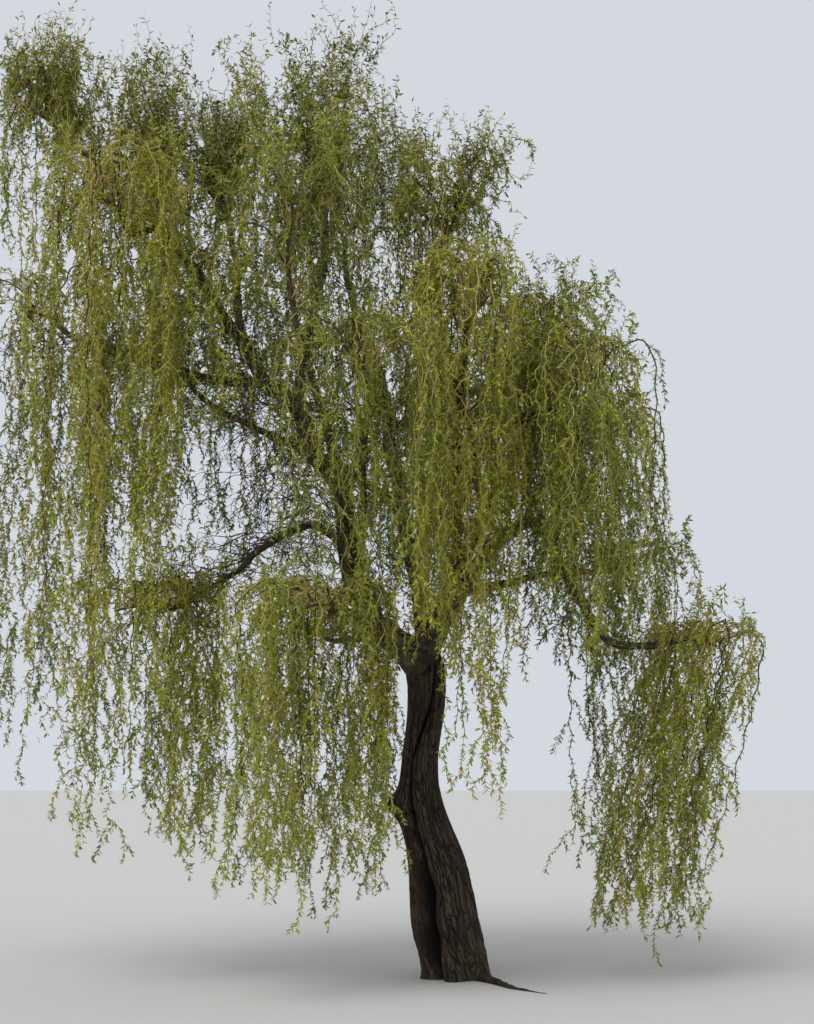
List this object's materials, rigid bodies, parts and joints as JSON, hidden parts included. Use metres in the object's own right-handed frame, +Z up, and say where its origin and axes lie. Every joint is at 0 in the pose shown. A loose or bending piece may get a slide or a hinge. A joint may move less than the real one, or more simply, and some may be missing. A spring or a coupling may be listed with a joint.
{
  "type": "weeping willow tree",
  "caption": "Whole weeping willow in early leaf: leaning seamed trunk, spreading boughs, curly twigs and hanging curtains of small narrow leaves.",
  "frame": {"origin": "on the ground, at the middle of the trunk's flat cut, from which its lean starts", "axes": "+Z up; the tree is seen in the picture from -Y, with +X to the viewer's right; the trunk leans to -X"},
  "size_m": [5.7814, 4.8492, 7.0274],
  "materials": {
    "trunk_bark": "matte",
    "bough_bark": "matte",
    "foliage": "matte"
  },
  "bodies": {
    "root": {"crest_far_left_mass": "foliage", "crest_front_mass": "foliage", "crest_left_mass": "foliage", "crest_limb": "bough_bark", "crest_middle_mass": "foliage", "crest_rear_left_mass": "foliage", "crest_rear_mass": "foliage", "crest_right_mass": "foliage", "far_left_limb": "bough_bark", "far_left_mass": "foliage", "front_crest_limb": "bough_bark", "front_left_limb": "bough_bark", "front_left_mass": "foliage", "front_limb": "bough_bark", "front_middle_mass": "foliage", "front_right_limb": "bough_bark", "front_side_limb": "bough_bark", "leader_lower": "bough_bark", "leader_middle": "bough_bark", "leader_upper": "bough_bark", "left_arch_fall": "bough_bark", "left_arch_rise": "bough_bark", "left_curl_limb": "bough_bark", "left_front_mass": "foliage", "left_reach_limb": "bough_bark", "low_front_mass": "foliage", "low_left_mass": "foliage", "low_rear_left_mass": "foliage", "low_rear_right_mass": "foliage", "low_right_mass": "foliage", "rear_crest_limb": "bough_bark", "rear_left_limb": "bough_bark", "rear_left_mass": "foliage", "rear_low_left_limb": "bough_bark", "rear_low_right_limb": "bough_bark", "rear_middle_mass": "foliage", "rear_out_limb": "bough_bark", "rear_right_limb": "bough_bark", "rear_right_mass": "foliage", "rear_stem_lower": "bough_bark", "rear_stem_upper": "bough_bark", "right_arch_fall": "bough_bark", "right_arch_reach": "bough_bark", "right_arch_rise": "bough_bark", "right_crest_limb": "bough_bark", "right_front_mass": "foliage", "right_riser": "bough_bark", "right_shoulder_mass": "foliage", "right_side_limb": "bough_bark", "right_side_mass": "foliage", "trunk": "trunk_bark"}
  },
  "joints": []
}
